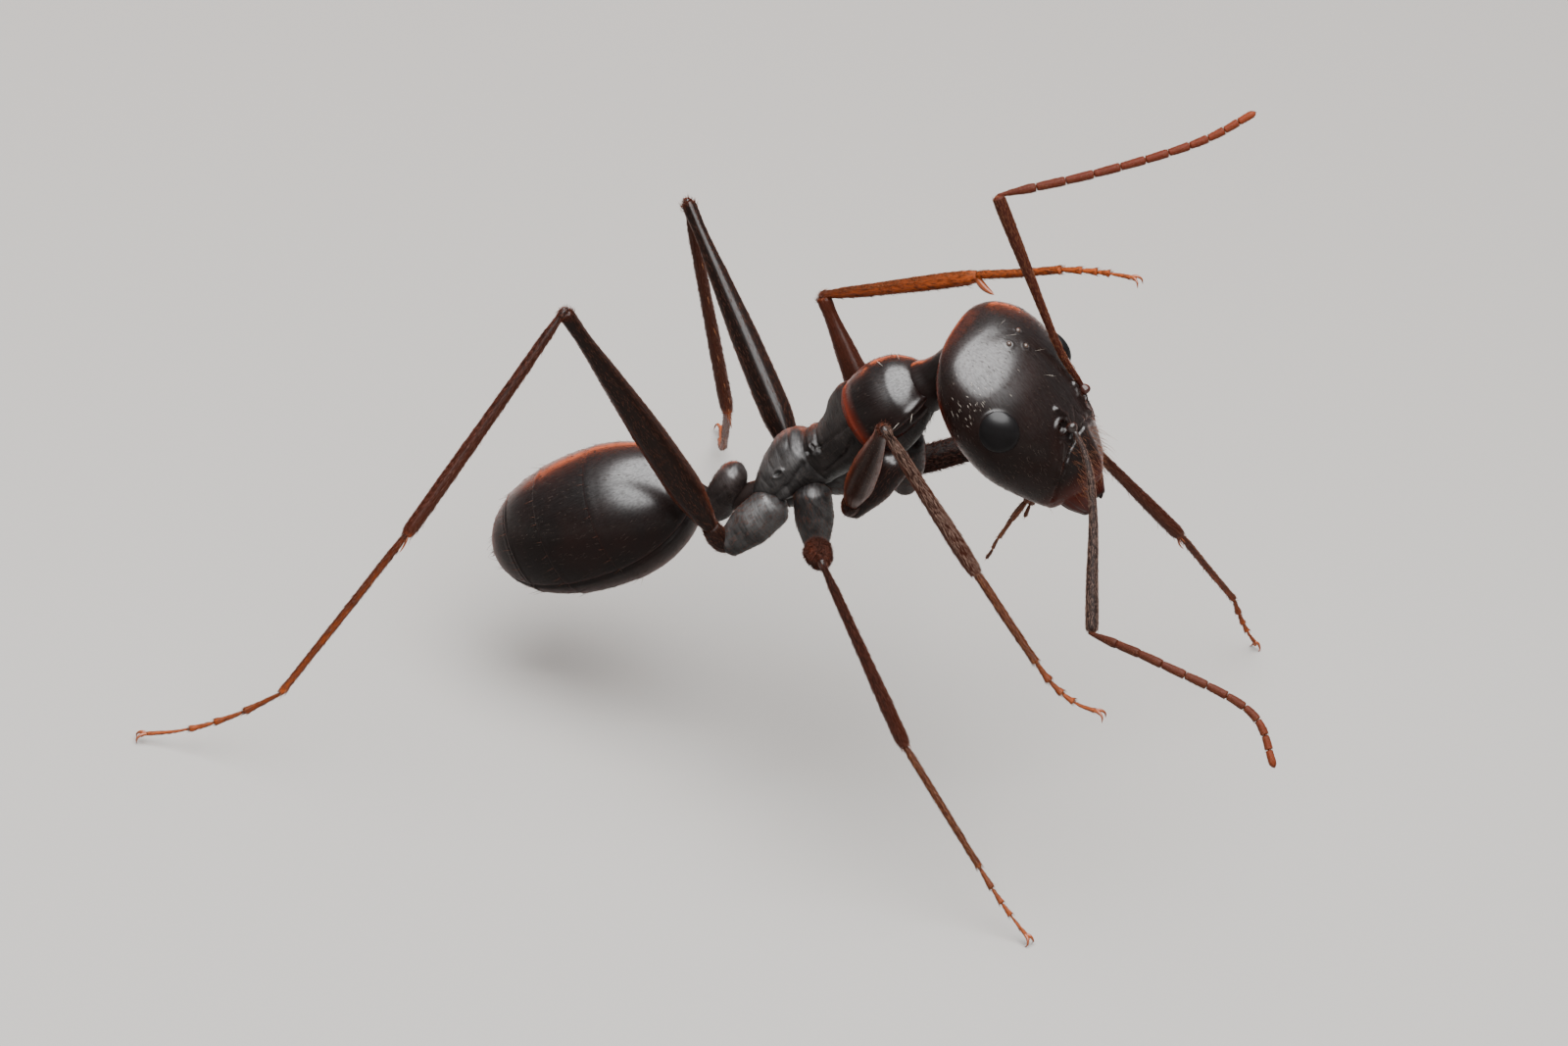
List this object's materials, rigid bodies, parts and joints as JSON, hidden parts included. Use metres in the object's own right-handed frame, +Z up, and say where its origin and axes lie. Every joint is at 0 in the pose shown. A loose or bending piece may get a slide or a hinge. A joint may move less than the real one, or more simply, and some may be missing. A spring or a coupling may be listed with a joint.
{
  "type": "long-legged black ant",
  "caption": "Life-size ant on raised thin legs, trunk tilted nose-up, head and feelers lifted, egg-shaped abdomen behind.",
  "frame": {"origin": "on the floor, under the middle of the ant's bounding box", "axes": "+X is the way the ant faces, +Y is to its left, +Z is up"},
  "size_m": [0.0198, 0.0176, 0.0136],
  "materials": {
    "cuticle": "polished black-brown shell",
    "head_cuticle": "polished black shell, reddish at its edges",
    "trunk_dull": "dull finely grooved shell",
    "leg": "satin dark brown, finely ridged",
    "foot": "satin red-brown",
    "feeler": "dull brown, closely downy",
    "eye": "grey-black, finely faceted",
    "mouth": "satin dark red"
  },
  "bodies": {
    "root": {"head": "head_cuticle", "eye_R": "eye", "eye_L": "eye", "mandible_R": "mouth", "mandible_L": "mouth", "palp_R": "mouth", "palp_L": "mouth", "scape_R": "feeler", "scape_L": "feeler", "funiculus_R": "feeler", "funiculus_L": "feeler", "neck": "trunk_dull", "pronotum": "cuticle", "mesothorax": "cuticle", "propodeum": "trunk_dull", "petiole": "cuticle", "gaster_1": "cuticle", "gaster_2": "cuticle", "gaster_3": "cuticle", "gaster_4": "cuticle", "coxa_R_front": "trunk_dull", "trochanter_R_front": "leg", "femur_R_front": "leg", "tibia_R_front": "leg", "basitarsus_R_front": "foot", "tarsus_R_front": "foot", "coxa_L_front": "trunk_dull", "trochanter_L_front": "leg", "femur_L_front": "leg", "tibia_L_front": "leg", "basitarsus_L_front": "foot", "tarsus_L_front": "foot", "coxa_R_mid": "trunk_dull", "trochanter_R_mid": "leg", "femur_R_mid": "leg", "tibia_R_mid": "leg", "basitarsus_R_mid": "foot", "tarsus_R_mid": "foot", "coxa_L_mid": "trunk_dull", "trochanter_L_mid": "leg", "femur_L_mid": "leg", "tibia_L_mid": "leg", "basitarsus_L_mid": "foot", "tarsus_L_mid": "foot", "coxa_R_hind": "trunk_dull", "trochanter_R_hind": "leg", "femur_R_hind": "leg", "tibia_R_hind": "leg", "basitarsus_R_hind": "foot", "tarsus_R_hind": "foot", "coxa_L_hind": "trunk_dull", "trochanter_L_hind": "leg", "femur_L_hind": "leg", "tibia_L_hind": "leg", "basitarsus_L_hind": "foot", "tarsus_L_hind": "foot"}
  },
  "joints": []
}
